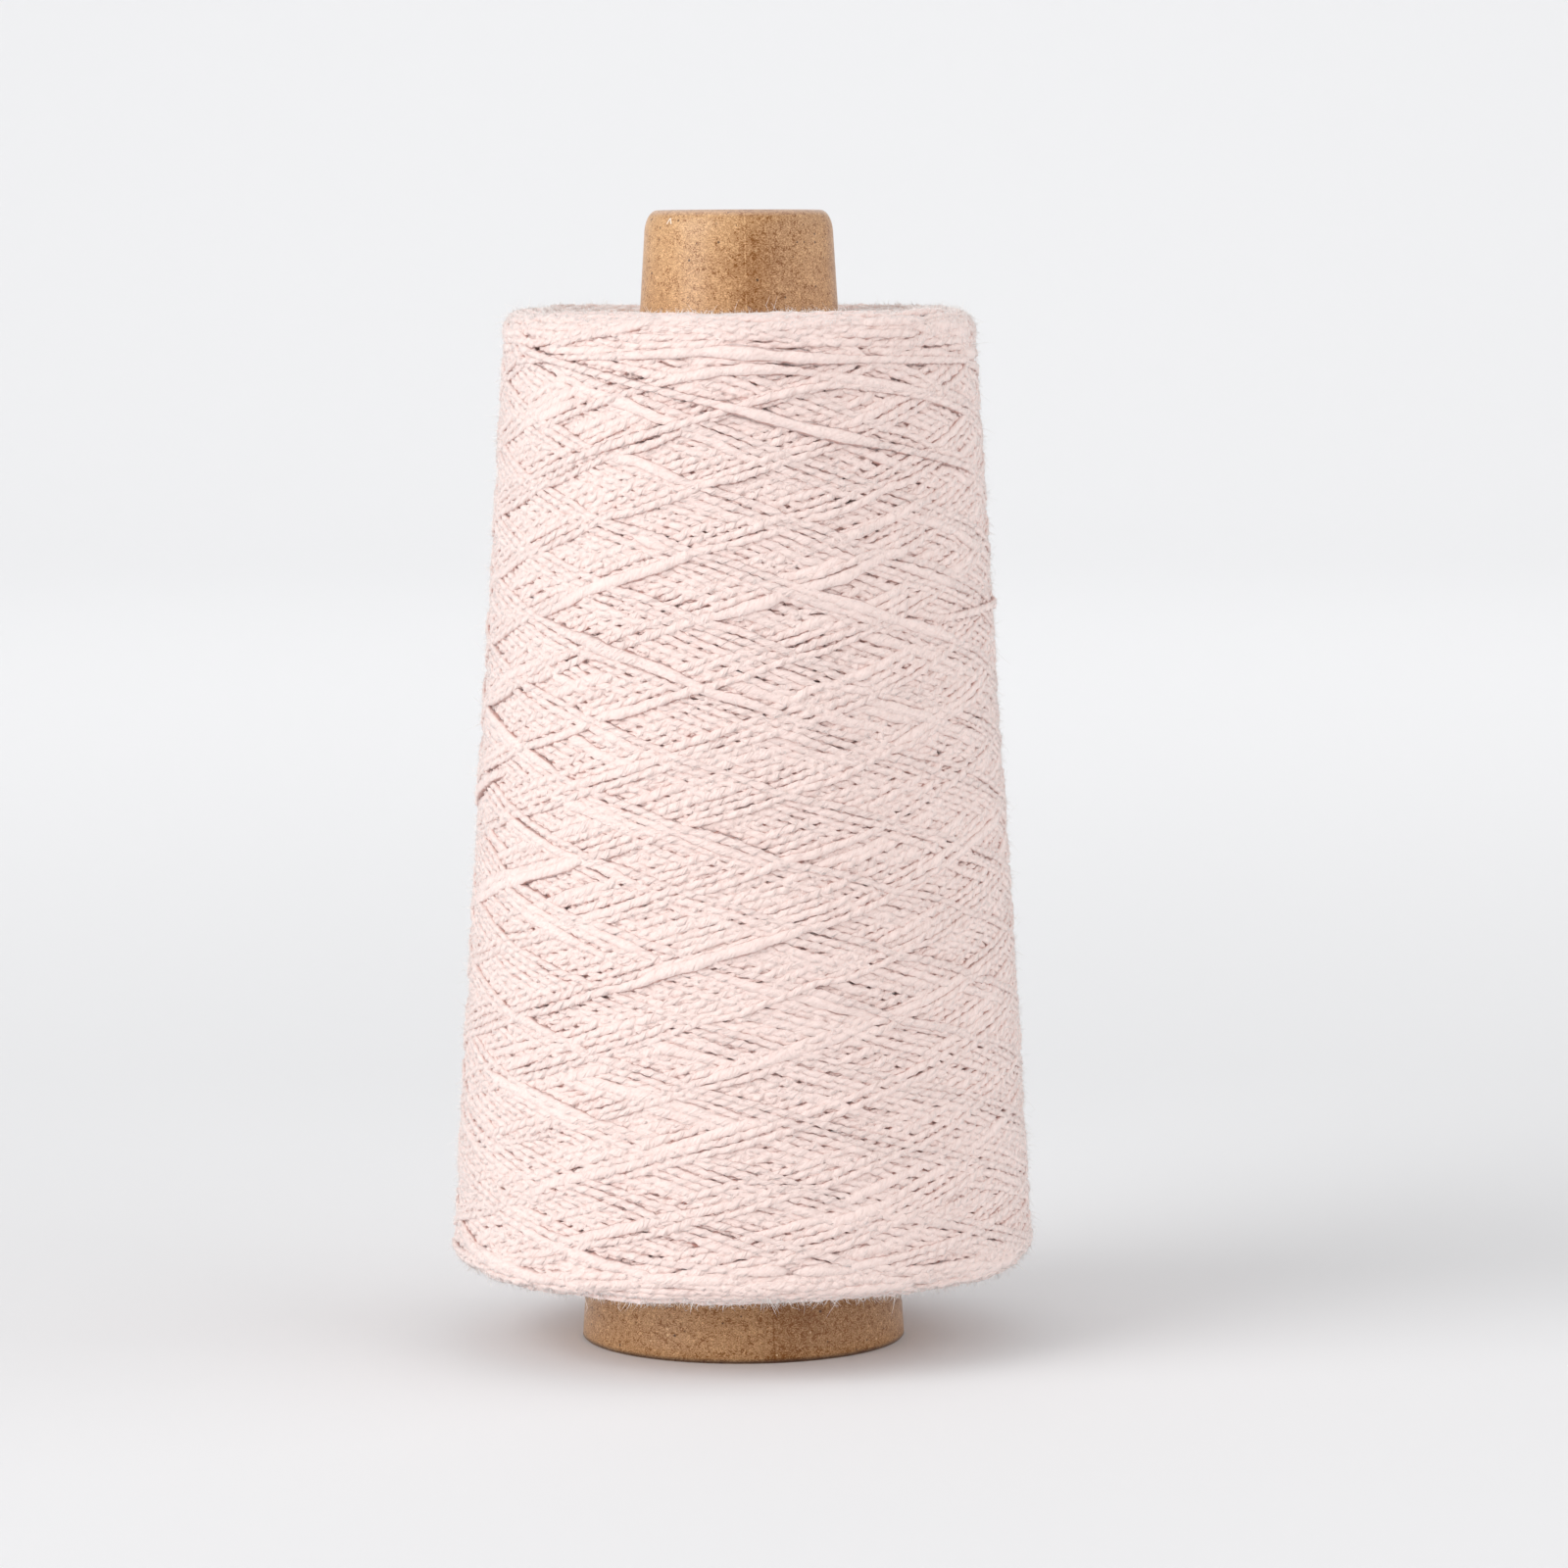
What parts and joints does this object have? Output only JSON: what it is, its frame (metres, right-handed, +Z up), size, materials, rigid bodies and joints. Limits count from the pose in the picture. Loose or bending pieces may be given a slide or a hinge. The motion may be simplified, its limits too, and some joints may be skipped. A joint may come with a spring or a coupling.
{
  "type": "cone of yarn",
  "caption": "Slub cotton yarn cross-wound on a hollow tapered paperboard cone, standing on the cone's wide end.",
  "frame": {"origin": "centre of the paper cone's foot, on the surface it stands on", "axes": "+Z up along the cone's axis towards its narrow nose, -Y the side that faces the viewer"},
  "size_m": [0.0874, 0.0874, 0.17],
  "materials": {
    "kraft_paperboard": "matte",
    "pink_cotton": "matte"
  },
  "bodies": {
    "root": {"paper_cone": "kraft_paperboard", "wound_yarn": "pink_cotton"}
  },
  "joints": []
}
